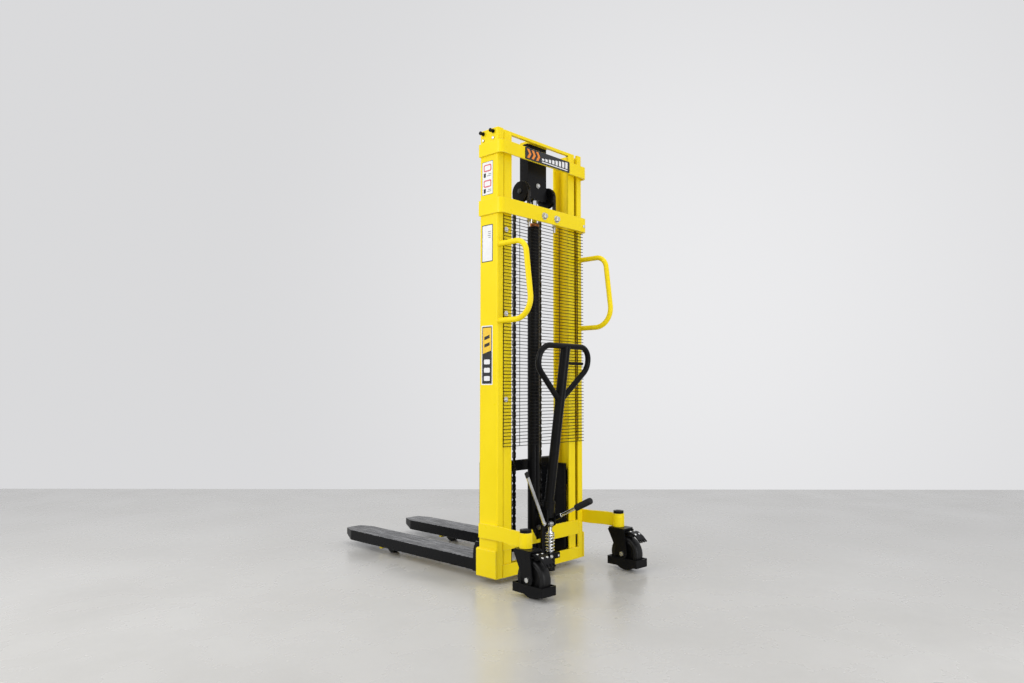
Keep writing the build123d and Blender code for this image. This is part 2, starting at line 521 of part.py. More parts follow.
caster += Pos(-38, -TRAIL, WHEEL_R) * Rot(0, -90, 0) * hexagon(19, 8)
caster -= bar_x(5 + RUN, -38, 38, BRAKE_Y, BRAKE_Z)

tyre = fillet(Cylinder(WHEEL_R, WHEEL_W).edges(), 9)
for side in (-1, 1):
    recess = Cylinder(58, 8) - Cylinder(19, 8)
    tyre -= Pos(0, 0, side * (WHEEL_W / 2 - 4)) * recess
tyre -= Cylinder(AXLE_R + RUN, WHEEL_W)
tyre = Pos(0, -TRAIL, WHEEL_R) * Rot(0, 90, 0) * tyre

pad = make_face(Polyline(
    (BRAKE_Y - 8, 181), (-98, 178), (-124, 163), (-147, 141), (-151, 145), (-127, 168),
    (-99, 184), (BRAKE_Y - 8, 187), close=True,
))
brake = plate_yz(pad, -27, 27) + bar_x(9, -31, 31, BRAKE_Y, BRAKE_Z)
brake += bar_x(5, -38, 38, BRAKE_Y, BRAKE_Z)
brake += box(-27, 27, BRAKE_Y - 10, BRAKE_Y, BRAKE_Z, 187) + box(-20, 20, -84, -70, 160.5, 184)
for x in (-18, 0, 18):
    brake -= box(x - 4.5, x + 4.5, -160, -140, 120, 160)

for side, angle, word in ((-1, SWIVEL_LEFT, "left"), (1, SWIVEL_RIGHT, "right")):
    place = Pos(side * PIVOT_X, PIVOT_Y, 0) * Rot(0, 0, angle)
    nodes[f"caster_fork_{word}"] = place * caster
    nodes[f"caster_wheel_{word}"] = place * tyre
    nodes[f"caster_brake_{word}"] = place * brake

for name, shape in nodes.items():
    export_step(Pos(-CENTRE_X, -CENTRE_Y, 0) * shape, f"parts/{name}.step")
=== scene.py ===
import bmesh
import bpy
import json
from math import cos, pi, radians, sin
from mathutils import Matrix, Vector

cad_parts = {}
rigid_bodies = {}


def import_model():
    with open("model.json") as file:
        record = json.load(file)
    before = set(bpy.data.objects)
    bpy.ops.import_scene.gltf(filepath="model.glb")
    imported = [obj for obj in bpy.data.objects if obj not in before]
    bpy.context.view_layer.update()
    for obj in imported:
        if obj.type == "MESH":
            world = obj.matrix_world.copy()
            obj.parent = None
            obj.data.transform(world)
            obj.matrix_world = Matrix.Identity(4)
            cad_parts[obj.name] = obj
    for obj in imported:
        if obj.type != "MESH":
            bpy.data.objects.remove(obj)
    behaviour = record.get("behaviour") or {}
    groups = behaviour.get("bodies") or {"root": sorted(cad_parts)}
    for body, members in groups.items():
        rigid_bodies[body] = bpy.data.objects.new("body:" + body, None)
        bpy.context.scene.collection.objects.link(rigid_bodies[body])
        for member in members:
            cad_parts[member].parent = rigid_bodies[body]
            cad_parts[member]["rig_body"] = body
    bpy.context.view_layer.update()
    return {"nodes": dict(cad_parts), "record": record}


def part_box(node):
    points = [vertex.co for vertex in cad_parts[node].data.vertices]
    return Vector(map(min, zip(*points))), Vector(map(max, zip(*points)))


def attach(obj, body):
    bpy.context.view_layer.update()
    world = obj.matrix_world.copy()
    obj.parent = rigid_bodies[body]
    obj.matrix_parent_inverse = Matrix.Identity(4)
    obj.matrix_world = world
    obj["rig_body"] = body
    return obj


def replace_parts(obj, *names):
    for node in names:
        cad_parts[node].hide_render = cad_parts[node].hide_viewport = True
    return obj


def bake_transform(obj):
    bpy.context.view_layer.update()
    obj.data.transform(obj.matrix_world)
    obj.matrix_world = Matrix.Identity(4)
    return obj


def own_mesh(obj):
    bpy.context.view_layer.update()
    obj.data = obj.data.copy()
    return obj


# Looks of a hand hydraulic fork stacker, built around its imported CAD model. Lengths are metres.
# Places quoted in millimetres are measured from the mast: X across from its middle, Y forward
# from the rear face of the outer rails, Z up from the floor; at() turns them into the frame.
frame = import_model()
nodes = frame["nodes"]

RAIL_SIDE = 310.5
RAIL_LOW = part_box("outer_rail_left")[0]
MAST_X = RAIL_LOW.x + RAIL_SIDE / 1000
MAST_Y = RAIL_LOW.y
SIDES = (("left", -1), ("right", 1))
BACK = (0, -1, 0)
UP = (0, 0, 1)
EDGE = "edge"
SMOOTH_ANGLE, BEVEL_ANGLE, FLAT_ANGLE = radians(38), radians(33), radians(0.5)
MERGE_DISTANCE = 2e-5
BEAD_STEP = 0.0026


def at(x, y, z):
    """A point given in millimetres from the mast, in the frame's metres."""
    return Vector((MAST_X + x / 1000, MAST_Y + y / 1000, z / 1000))


# ---------------------------------------------------------------- materials
class Paint:
    """A Principled material with helpers for its procedural detail, in object space."""

    def __init__(self, name):
        self.material = bpy.data.materials.new(name)
        self.material.use_nodes = True
        self.tree = self.material.node_tree
        self.shader = self.tree.nodes["Principled BSDF"]
        self.place = self.tree.nodes.new("ShaderNodeTexCoord").outputs["Object"]

    def link(self, out, into):
        self.tree.links.new(out, into)

    def noise(self, scale, detail=3.0, rough=0.55, stretch=None):
        """Noise from 0 to 1; scale is in features per metre."""
        node = self.tree.nodes.new("ShaderNodeTexNoise")
        node.inputs["Scale"].default_value = scale
        node.inputs["Detail"].default_value = detail
        node.inputs["Roughness"].default_value = rough
        source = self.place
        if stretch:
            mapping = self.tree.nodes.new("ShaderNodeMapping")
            mapping.inputs["Scale"].default_value = stretch
            self.link(source, mapping.inputs["Vector"])
            source = mapping.outputs["Vector"]
        self.link(source, node.inputs["Vector"])
        return node.outputs["Fac"]

    def voronoi(self, scale):
        """Distance to the nearest of many scattered points."""
        node = self.tree.nodes.new("ShaderNodeTexVoronoi")
        node.inputs["Scale"].default_value = scale
        self.link(self.place, node.inputs["Vector"])
        return node.outputs["Distance"]

    def ramp(self, value, low, high, to_low=0.0, to_high=1.0):
        """value from low..high remapped to to_low..to_high, clamped."""
        node = self.tree.nodes.new("ShaderNodeMapRange")
        node.inputs["From Min"].default_value = low
        node.inputs["From Max"].default_value = high
        node.inputs["To Min"].default_value = to_low
        node.inputs["To Max"].default_value = to_high
        self.link(value, node.inputs["Value"])
        return node.outputs["Result"]

    def math(self, kind, a, b):
        """a and b are outputs or numbers."""
        node = self.tree.nodes.new("ShaderNodeMath")
        node.operation = kind
        for value, socket in zip((a, b), node.inputs):
            if isinstance(value, (int, float)):
                socket.default_value = value
            else:
                self.link(value, socket)
        return node.outputs["Value"]

    def mix(self, factor, a, b):
        """Colour a where factor is 0 and b where it is 1; a may be an output."""
        node = self.tree.nodes.new("ShaderNodeMix")
        node.data_type = "RGBA"
        self.link(factor, node.inputs["Factor"])
        for value, socket in ((a, node.inputs[6]), (b, node.inputs[7])):
            if isinstance(value, tuple):
                socket.default_value = (*value, 1)
            else:
                self.link(value, socket)
        return node.outputs[2]

    def edges(self):
        """1 on the softened edges of a piece and 0 elsewhere."""
        node = self.tree.nodes.new("ShaderNodeAttribute")
        node.attribute_name = EDGE
        return node.outputs["Fac"]

    def height(self):
        """Height above the floor in metres."""
        node = self.tree.nodes.new("ShaderNodeSeparateXYZ")
        self.link(self.place, node.inputs["Vector"])
        return node.outputs["Z"]

    def upward(self):
        """1 on faces that look straight up, fading to 0 on sloping ones."""
        normal = self.tree.nodes.new("ShaderNodeNewGeometry").outputs["Normal"]
        node = self.tree.nodes.new("ShaderNodeSeparateXYZ")
        self.link(normal, node.inputs["Vector"])
        return self.ramp(node.outputs["Z"], 0.8, 0.97)

    def bump(self, height, distance, strength=1.0, under=None):
        """Relief of the given depth in metres, over another relief where there is one."""
        node = self.tree.nodes.new("ShaderNodeBump")
        node.inputs["Distance"].default_value = distance
        node.inputs["Strength"].default_value = strength
        self.link(height, node.inputs["Height"])
        if under:
            self.link(under, node.inputs["Normal"])
        self.link(node.outputs["Normal"], self.shader.inputs["Normal"])
        return node.outputs["Normal"]

    def set(self, **sockets):
        """Plain numbers straight onto the shader's own sockets."""
        for name, value in sockets.items():
            self.shader.inputs[name.replace("_", " ")].default_value = value

    def colour(self, source):
        self.link(source, self.shader.inputs["Base Color"])

    def roughness(self, source):
        self.link(source, self.shader.inputs["Roughness"])


def enamel(name, base, pale, dust_and_sheen, rough, peel, gloss, dust, scuffs=0.0):
    """Sprayed enamel: cloudy tone, orange peel, thin paint on edges, a little dust near the floor
    and, where it carries loads, pale streaks along Y on the faces that look up: scuffs and painted sheen."""
    p = Paint(name)
    tone = p.mix(p.ramp(p.noise(5.0, 4.0), 0.35, 0.68), base, pale)
    worn = p.math("MULTIPLY", p.edges(), p.ramp(p.noise(70.0, 5.0), 0.46, 0.62, 0.0, 0.55))
    tone = p.mix(worn, tone, dust_and_sheen)
    low = p.ramp(p.height(), 0.0, 0.30, 1.0, 0.0)
    specks = p.ramp(p.noise(160.0, 6.0, 0.7), 0.52, 0.78, 0.0, dust)
    tone = p.mix(p.math("MULTIPLY", low, specks), tone, dust_and_sheen)
    # Pale streaks on up-facing faces: partly scuffs, partly a painted reflection that lightens the tops.
    if scuffs:
        scuff_and_sheen_streaks = p.ramp(p.noise(30.0, 6.0, 0.75, (3.0, 0.22, 1.0)), 0.45, 0.72, 0.0, scuffs)
        tone = p.mix(p.math("MULTIPLY", p.upward(), scuff_and_sheen_streaks), tone, dust_and_sheen)
    p.colour(tone)
    soft = p.math("ADD", p.ramp(p.noise(22.0, 5.0), 0.3, 0.75, rough - 0.05, rough + 0.07),
                  p.math("MULTIPLY", worn, 0.2))
    p.roughness(soft)
    first = p.bump(p.noise(330.0, 2.0), 0.0004, peel)
    p.bump(p.noise(46.0, 1.0), 0.0010, peel * 0.7, first)
    p.set(Specular_IOR_Level=gloss)
    return p.material


def metal(name, base, tint, rough, brush, scratch):
    """Bare or plated metal with brush lines, a cloudy tint and fine scratches."""
    p = Paint(name)
    p.colour(p.mix(p.ramp(p.noise(38.0, 5.0), 0.35, 0.7), base, tint))
    p.roughness(p.ramp(p.noise(120.0, 6.0, 0.6, brush), 0.25, 0.75, rough - 0.06, rough + 0.10))
    p.bump(p.noise(260.0, 4.0, 0.6, brush), 0.0004, scratch)
    p.set(Metallic=1.0)
    return p.material


def moulded(name, base, pale, rough, grain, depth, gloss=0.2):
    """Moulded rubber or plastic with a fine grain and slightly paler scuffs."""
    p = Paint(name)
    scuffs = p.ramp(p.noise(34.0, 6.0, 0.7), 0.5, 0.8, 0.0, 0.6)
    p.colour(p.mix(scuffs, base, pale))
    p.roughness(p.ramp(p.noise(60.0, 4.0), 0.3, 0.7, rough - 0.07, rough + 0.08))
    p.bump(p.voronoi(grain), depth, 0.5)
    p.set(Specular_IOR_Level=gloss)
    return p.material


def film(name, base, pale, rough=0.3):
    """Printed vinyl film: almost even colour, faint mottling and a soft ripple."""
    p = Paint(name)
    p.colour(p.mix(p.ramp(p.noise(90.0, 4.0), 0.4, 0.7), base, pale))
    p.roughness(p.ramp(p.noise(50.0, 3.0), 0.3, 0.7, rough - 0.05, rough + 0.08))
    p.bump(p.noise(240.0, 3.0), 0.0003, 0.3)
    return p.material


def link_steel():
    """Dark oiled chain steel, with oil that pools in cloudy patches."""
    p = Paint("oiled_steel")
    oil = p.ramp(p.noise(60.0, 5.0, 0.7), 0.42, 0.62)
    p.colour(p.mix(oil, (0.075, 0.072, 0.068), (0.018, 0.016, 0.014)))
    p.roughness(p.ramp(oil, 0.0, 1.0, 0.42, 0.22))
    p.bump(p.noise(400.0, 4.0), 0.0003, 0.5)
    p.set(Metallic=0.85)
    return p.material


YELLOW = enamel("yellow_enamel", (0.86, 0.655, 0.004), (0.89, 0.69, 0.008), (0.72, 0.60, 0.22),
                0.32, 0.09, 0.18, 0.22)
BLACK = enamel("black_enamel", (0.0045, 0.0045, 0.0050), (0.0070, 0.0070, 0.0075), (0.060, 0.058, 0.055),
               0.30, 0.12, 0.10, 0.08)
# The pale grey on the fork tops is partly scuffs and partly a painted reflection of the bright room.
FORK_BLACK = enamel("fork_enamel", (0.0035, 0.0038, 0.0045), (0.0055, 0.0057, 0.0065), (0.34, 0.34, 0.35),
                    0.28, 0.05, 0.14, 0.0, scuffs=0.9)
ZINC = metal("zinc_plate", (0.70, 0.71, 0.72), (0.60, 0.595, 0.56), 0.30, (1, 1, 1), 0.3)
CHROME = metal("hard_chrome", (0.80, 0.81, 0.82), (0.70, 0.71, 0.73), 0.13, (1, 1, 6), 0.12)
DARK_STEEL = metal("dark_steel", (0.075, 0.076, 0.08), (0.035, 0.035, 0.037), 0.36, (1, 1, 1), 0.4)
BRONZE = metal("bronze", (0.43, 0.17, 0.075), (0.26, 0.10, 0.05), 0.36, (1, 1, 8), 0.4)
RUBBER = moulded("black_rubber", (0.012, 0.012, 0.012), (0.035, 0.034, 0.033), 0.58, 900.0, 0.0004)
TYRE = moulded("tyre_black", (0.0065, 0.0065, 0.0068), (0.024, 0.023, 0.022), 0.40, 500.0, 0.0003)
RIM = moulded("rim_nylon", (0.010, 0.010, 0.0105), (0.028, 0.028, 0.028), 0.32, 700.0, 0.0002, 0.3)
CHAIN = link_steel()
FILM_BLACK = film("film_black", (0.008, 0.008, 0.009), (0.014, 0.014, 0.015), 0.26)
FILM_WHITE = film("film_white", (0.80, 0.80, 0.80), (0.74, 0.74, 0.745), 0.34)
FILM_ORANGE = film("film_orange", (0.82, 0.25, 0.018), (0.74, 0.21, 0.016))
FILM_YELLOW = film("film_yellow", (0.86, 0.56, 0.03), (0.80, 0.50, 0.03))
FILM_GREY = film("film_grey", (0.16, 0.16, 0.17), (0.20, 0.20, 0.21))
FILM_ROSE = film("film_rose", (0.66, 0.12, 0.15), (0.58, 0.11, 0.14))


# ---------------------------------------------------------------- mesh helpers
def piece(bm, name, body, slot, *materials):
    """A finished mesh as an object that rides on a body, smooth except over real corners."""
    for face in bm.faces:
        face.smooth = True
    for edge in bm.edges:
        edge.smooth = edge.calc_face_angle(0) < SMOOTH_ANGLE
    mesh = bpy.data.meshes.new(name)
    bm.to_mesh(mesh)
    bm.free()
    carried = mesh.attributes.get("custom_normal")
    if carried:
        mesh.attributes.remove(carried)
    for material in materials:
        mesh.materials.append(material)
    obj = bpy.data.objects.new(name, mesh)
    bpy.context.scene.collection.objects.link(obj)
    shading = obj.modifiers.new("shading", "WEIGHTED_NORMAL")
    shading.keep_sharp = True
    if body:
        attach(obj, body)
    return obj


def tube(bm, points, radii, sides):
    """Round tube through the points with closed ends; radii is one number or one per point."""
    points = [Vector(p) for p in points]
    if not isinstance(radii, (list, tuple)):
        radii = [radii] * len(points)
    rings = []
    across = None
    for i, point in enumerate(points):
        before = points[max(i - 1, 0)]
        after = points[min(i + 1, len(points) - 1)]
        way = (after - before).normalized()
        if across is None:
            across = way.orthogonal().normalized()
        across = (across - way * across.dot(way)).normalized()
        other = way.cross(across)
        ring = []
        for k in range(sides):
            turn = 2 * pi * k / sides
            ring.append(bm.verts.new(point + (across * cos(turn) + other * sin(turn)) * radii[i]))
        rings.append(ring)
    for low, high in zip(rings, rings[1:]):
        for k in range(sides):
            bm.faces.new((low[k], low[(k + 1) % sides], high[(k + 1) % sides], high[k]))
    bm.faces.new(list(reversed(rings[0])))
    bm.faces.new(rings[-1])


def lathe(bm, profile, origin, axis, steps=32, flutes=0, depth=0.0, material=0):
    """Turned solid: profile is (radius, distance along the axis) from one end to the other, and
    a profile that doesn't start or end on the axis gets a flat face there."""
    origin, axis = Vector(origin), Vector(axis).normalized()
    across = axis.orthogonal().normalized()
    other = axis.cross(across)
    rings = []
    for radius, along in profile:
        centre = origin + axis * along
        if not radius:
            rings.append([bm.verts.new(centre)])
            continue
        ring = []
        for k in range(steps):
            turn = 2 * pi * k / steps
            r = radius - depth * (0.5 - 0.5 * cos(flutes * turn)) if flutes else radius
            ring.append(bm.verts.new(centre + (across * cos(turn) + other * sin(turn)) * r))
        rings.append(ring)
    for low, high in zip(rings, rings[1:]):
        for k in range(steps):
            n = (k + 1) % steps
            corners = [low[k % len(low)], low[n % len(low)], high[n % len(high)], high[k % len(high)]]
            corners = [v for i, v in enumerate(corners) if v not in corners[:i]]
            if len(corners) > 2:
                bm.faces.new(corners).material_index = material
    for ring, turned in ((rings[0], True), (rings[-1], False)):
        if len(ring) > 1:
            bm.faces.new(list(reversed(ring)) if turned else ring).material_index = material


def rod(radius, length):
    """Profile of a plain cylinder."""
    return [(0, 0), (radius, 0), (radius, length), (0, length)]


def washer_bolt(bm, seat, way, across, height, washer=0.0, thick=0.002, material=0):
    """Hexagon head with a chamfered top and a dished centre, on a washer where one is given."""
    seat, way = Vector(seat), Vector(way).normalized()
    if washer:
        rim = [(washer - 0.0006, 0), (washer, 0.0006), (washer, thick - 0.0006), (washer - 0.0006, thick),
               (across * 0.4, thick)]
        lathe(bm, [(0, 0)] + rim + [(0, thick)], seat, way, 36, material=material)
        seat = seat + way * thick
    r = across / 3 ** 0.5
    head = [(0, 0), (r, 0), (r, height * 0.78), (r * 0.90, height), (r * 0.52, height),
            (r * 0.44, height - 0.0007), (0, height - 0.0009)]
    lathe(bm, head, seat, way, 6, material=material)


def ripple(i):
    """How much thicker or thinner a weld bead is at its step i."""
    return 1.0 + 0.14 * cos(2.1 * i)


def weld(bm, start, end, radius):
    """Painted weld bead with its ripples, along a straight run."""
    start, end = Vector(start), Vector(end)
    count = max(2, round((end - start).length / BEAD_STEP))
    line = [start.lerp(end, i / count) for i in range(count)] + [end]
    radii = [radius * (ripple(i) + 0.05 * sin(0.7 * i)) for i in range(len(line))]
    radii[0] = radii[-1] = radius * 0.55
    tube(bm, line, radii, 8)


def ring_weld(bm, centre, way, radius, bead):
    """Weld bead once round a tube."""
    way = Vector(way).normalized()
    across = way.orthogonal().normalized()
    other = way.cross(across)
    count = round(2 * pi * radius / BEAD_STEP)
    turns = [2 * pi * i / count for i in range(count + 1)]
    circle = [Vector(centre) + (across * cos(turn) + other * sin(turn)) * radius for turn in turns]
    tube(bm, circle, [bead * ripple(i) for i in range(count + 1)], 8)


def slab(bm, outline, normal, thick, material=0):
    """Flat plate standing on the outline, thick along normal."""
    rise = Vector(normal).normalized() * thick
    low = [bm.verts.new(Vector(p)) for p in outline]
    high = [bm.verts.new(Vector(p) + rise) for p in outline]
    for i in range(len(outline)):
        j = (i + 1) % len(outline)
        bm.faces.new((low[i], low[j], high[j], high[i])).material_index = material
    bm.faces.new(list(reversed(low))).material_index = material
    bm.faces.new(high).material_index = material


def softened(node, width, *materials, pick=None):
    """The CAD node's own shape with its corners rounded and marked, standing for the node.
    pick(point) gives the index of the material for the face at that point."""
    source = nodes[node]
    bm = bmesh.new()
    bm.from_mesh(source.data)
    layer = bm.faces.layers.float.new(EDGE)
    bmesh.ops.remove_doubles(bm, verts=bm.verts, dist=MERGE_DISTANCE)
    bmesh.ops.dissolve_limit(bm, angle_limit=FLAT_ANGLE, verts=bm.verts, edges=bm.edges)
    sharp = [e for e in bm.edges if e.is_manifold and e.calc_face_angle(0) > BEVEL_ANGLE]
    made = bmesh.ops.bevel(bm, geom=sharp, offset=width, offset_type="OFFSET", segments=2,
                           profile=0.5, affect="EDGES", clamp_overlap=True)
    for face in made["faces"]:
        face[layer] = 1.0
    for face in bm.faces:
        face.material_index = pick(face.calc_center_median()) if pick else 0
    obj = piece(bm, node + "_finished", source["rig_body"], SLOTS[node], *materials)
    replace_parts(obj, node)
    return obj


SLOTS = {row["node"]: row["material_slot"] for row in frame["record"]["subparts"]}

# ---------------------------------------------------------------- pieces that keep the CAD shape
def roller_stud(point):
    """1 on the bare guide roller studs that stand out past the inner rails."""
    return 1 if abs(point.x - MAST_X) > 0.2622 else 0


def axle_end(point):
    """1 on the bare ends of the load roller axle, outside the straddle leg."""
    return 1 if abs(abs(point.x - MAST_X) - 0.210) > 0.0524 else 0


for word, _ in SIDES:
    softened(f"outer_rail_{word}", 0.0012, YELLOW)
    softened(f"boot_{word}", 0.0014, YELLOW)
    softened(f"grab_handle_{word}", 0.0010, YELLOW)
    softened(f"caster_arm_{word}", 0.0016, YELLOW)
    softened(f"fork_{word}", 0.0016, FORK_BLACK)
    softened(f"pulley_{word}", 0.0012, BLACK)
    for level in ("lower", "upper"):
        softened(f"carriage_roller_{level}_{word}", 0.0008, DARK_STEEL)
    softened(f"mast_roller_{word}", 0.0008, DARK_STEEL)
    softened(f"load_roller_{word}", 0.0010, TYRE)
    softened(f"inner_rail_{word}", 0.0012, YELLOW, ZINC, pick=roller_stud)
    softened(f"leg_{word}", 0.0014, YELLOW, ZINC, pick=axle_end)
for node in ("top_band", "second_band", "mast_base", "upper_crossmember"):
    softened(node, 0.0014, YELLOW)
for node in ("inner_top_plate", "inner_lower_tie"):
    softened(node, 0.0014, YELLOW)
for node, width, material in (
        ("cylinder_tube", 0.0010, BLACK), ("gland_ring", 0.0010, BRONZE), ("pump_body", 0.0013, BLACK),
        ("pulley_bracket", 0.0014, BLACK), ("pulley_axle", 0.0006, DARK_STEEL),
        ("lift_ram", 0.0010, CHROME), ("carriage_frame", 0.0014, BLACK), ("pump_plunger", 0.0010, CHROME),
        ("hinge_pin", 0.0009, ZINC), ("drawbar", 0.0012, BLACK), ("control_lever", 0.0010, BLACK),
        ("foot_pedal", 0.0010, CHROME), ("release_lever", 0.0008, ZINC), ("chain_anchors", 0.0008, ZINC),
        ("sign_plate", 0.0006, FILM_BLACK)):
    softened(node, width, material)

PUMP_Y, HINGE_Z = -43.0, 219.0
PRESS_ARM, PRESS_ANGLE = 38.0, radians(25)
HINGE_Y = PUMP_Y + PRESS_ARM * cos(PRESS_ANGLE)
ROLLER_AT = at(0, PUMP_Y, HINGE_Z + PRESS_ARM * sin(PRESS_ANGLE))


def yoke_face(point):
    """Bright press roller between the black cheeks."""
    near = Vector((0, point.y - ROLLER_AT.y, point.z - ROLLER_AT.z)).length < 0.0145
    return 1 if near and abs(point.x - MAST_X) < 0.0215 else 0


softened("pump_yoke", 0.0012, BLACK, ZINC, pick=yoke_face)


# ---------------------------------------------------------------- casters
SWIVEL = {"left": -3.5, "right": -3.0}
PIVOT_X, PIVOT_Y, TRAIL = 338.0, -198.0, 50.0
AXLE_Z = 80.0


def mirrored(profile):
    """The other half of a turned profile, back along the axis."""
    return [(radius, -along) for radius, along in reversed(profile)]


def wheel_mesh(place):
    """Rubber tyre on a ribbed nylon centre with a steel bush, about the local X axis."""
    bm = bmesh.new()
    hub = Vector((0, -TRAIL / 1000, AXLE_Z / 1000))
    tread = [(0.0632, -0.0228), (0.0640, -0.0240), (0.0700, -0.0250), (0.0745, -0.0238),
             (0.0778, -0.0205), (0.0792, -0.0150), (0.0800, -0.0060)]
    tread += mirrored(tread)
    lathe(bm, tread[1:] + tread[:2], hub, (1, 0, 0), 72)
    rim = [(0.0633, -0.0225), (0.0620, -0.0243), (0.0590, -0.0243), (0.0575, -0.0225), (0.0560, -0.0120),
           (0.0245, -0.0110), (0.0215, -0.0200), (0.0195, -0.0250), (0.0145, -0.0250)]
    lathe(bm, rim + mirrored(rim) + [rim[0]], hub, (1, 0, 0), 72, material=1)
    bush = [(0.0146, -0.0255), (0.0102, -0.0255), (0.0102, 0.0255), (0.0146, 0.0255), (0.0146, -0.0255)]
    lathe(bm, bush, hub, (1, 0, 0), 36, material=2)
    for k in range(6):
        turn = Matrix.Rotation(2 * pi * (k + 0.5) / 6, 3, "X")
        for face in (-1, 1):
            corners = [(face * 0.0105, -0.0030, 0.0200), (face * 0.0105, 0.0030, 0.0200),
                       (face * 0.0115, 0.0022, 0.0580), (face * 0.0115, -0.0022, 0.0580)]
            rise = turn @ Vector((face, 0, 0))
            outline = [hub + turn @ Vector(c) for c in (corners if face > 0 else reversed(corners))]
            slab(bm, outline, rise, 0.0085, 1)
    bm.transform(place)
    return bm


def in_fork(place_back, point):
    """1 on the bare ends of the axle through a caster fork."""
    local = place_back @ point
    near = Vector((0, local.y + TRAIL / 1000, local.z - AXLE_Z / 1000)).length < 0.0135
    return 1 if near and abs(local.x) > 0.0382 else 0


for word, side in SIDES:
    turned = Matrix.Rotation(radians(SWIVEL[word]), 4, "Z")
    place = Matrix.Translation(at(side * PIVOT_X, PIVOT_Y, 0)) @ turned
    back = place.inverted()
    softened(f"caster_fork_{word}", 0.0013, BLACK, ZINC, pick=lambda p: in_fork(back, p))
    softened(f"caster_brake_{word}", 0.0010, BLACK)
    wheel = piece(wheel_mesh(place), f"wheel_{word}_detailed", f"wheel_{word}", "nylon_tyre",
                  TYRE, RIM, ZINC)
    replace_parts(wheel, f"caster_wheel_{word}")

    bm = bmesh.new()
    slope = Vector((0, 16, 28)).normalized()
    for x, y, z, way in ((-14, -84, 184.9, (0, 0, 1)), (14, -84, 184.9, (0, 0, 1)),
                         (-14, -113, 176.0, slope * Vector((1, -1, 1))),
                         (14, -113, 176.0, slope * Vector((1, -1, 1)))):
        dome = [(0.0058, 0), (0.0056, 0.0012), (0.0046, 0.0025), (0.0027, 0.0033), (0, 0.0036)]
        lathe(bm, [(0, -0.001)] + dome, Vector((x, y, z)) / 1000, way, 20)
    bm.transform(place)
    piece(bm, f"brake_rivets_{word}", f"brake_{word}", "zinc", ZINC)

    bm = bmesh.new()
    cap = [(0, 0.2715), (0.0250, 0.2715), (0.0256, 0.2722), (0.0256, 0.2738), (0.0240, 0.2752),
           (0.0110, 0.2760), (0.0100, 0.2748), (0, 0.2746)]
    lathe(bm, cap, place @ Vector((0, 0, 0)), UP, 40)
    for dy in (-26, 26):
        seat = place @ Vector((0, dy / 1000 - 0.013, 0.1895))
        lathe(bm, [(0, -0.004), (0.0080, -0.004), (0.0088, -0.0015), (0.0088, 0), (0, 0)], seat, UP, 24)
    piece(bm, f"caster_fittings_{word}", f"caster_{word}", "black_paint", BLACK)

# ---------------------------------------------------------------- leaf chain
PULLEY_X, PULLEY_Y, PULLEY_Z, CHAIN_R = 94.0, 52.0, 1825.0, 48.0
PITCH = 19.05
LACING = ((-6.3, 0.0, 6.3), (-3.15, 3.15))
PLATE_T, PLATE_R, PIN_R, CHAIN_HALF = 2.9, 6.0, 2.7, 8.0


def link(bm, x, a, b):
    """Figure-eight link plate between the pins a and b, which are (y, z) in mast millimetres."""
    a, b = Vector((0, *a)), Vector((0, *b))
    way = (b - a).normalized()
    side = Vector((0, -way.z, way.y))
    outline = []
    for centre, forward in ((b, way), (a, -way)):
        lateral = side if forward == way else -side
        for k in range(7):
            turn = radians(-108 + 36 * k)
            outline.append(centre + (forward * cos(turn) + lateral * sin(turn)) * PLATE_R)
        outline.append((a + b) / 2 + lateral * PLATE_R * 0.84)
    points = [at(x - PLATE_T / 2, p.y, p.z) for p in outline]
    slab(bm, points, (1, 0, 0), PLATE_T / 1000)


def chain(bm, x, pins):
    """Leaf chain through the pins, laced three plates and two in turn."""
    for i, (a, b) in enumerate(zip(pins, pins[1:])):
        for offset in LACING[i % 2]:
            link(bm, x + offset, a, b)
    for y, z in pins:
        lathe(bm, rod(PIN_R / 1000, 2 * CHAIN_HALF / 1000), at(x - CHAIN_HALF, y, z), (1, 0, 0), 10)


front_y = PULLEY_Y + CHAIN_R
chain_low = 200.0
count = round((PULLEY_Z - chain_low) / PITCH)
front_pins = [(front_y, chain_low + (PULLEY_Z - chain_low) * i / count) for i in range(count + 1)]
bm = bmesh.new()
for x in (-PULLEY_X, PULLEY_X):
    chain(bm, x, front_pins)
front = piece(bm, "front_leaf_chains", "inner_mast", "chain_steel", CHAIN)
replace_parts(front, "front_chains")
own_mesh(front)

wrap_turns = [pi * i / 8 for i in range(9)]
wrap_pins = [(PULLEY_Y + CHAIN_R * cos(turn), PULLEY_Z + CHAIN_R * sin(turn)) for turn in wrap_turns]
bm = bmesh.new()
for x in (-PULLEY_X, PULLEY_X):
    chain(bm, x, wrap_pins)
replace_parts(piece(bm, "leaf_chain_over_pulleys", "inner_mast", "chain_steel", CHAIN), "chain_wraps")

anchor_z = 1726.0
bm = bmesh.new()
for x in (-PULLEY_X, PULLEY_X):
    for k, offset in enumerate(sorted(LACING[0] + LACING[1])):
        half = 5.6 - 1.5 * (k % 2)
        low = [at(x + offset - 1.4, y, anchor_z) for y in (4 - half, 4 + half)]
        high = [at(x + offset - 1.4, y, PULLEY_Z) for y in (4 + half, 4 - half)]
        slab(bm, low + high, (1, 0, 0), PLATE_T / 1000)
rear = piece(bm, "rear_leaf_chains", None, "chain_steel", CHAIN)
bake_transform(rear)
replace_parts(rear, "rear_chains")

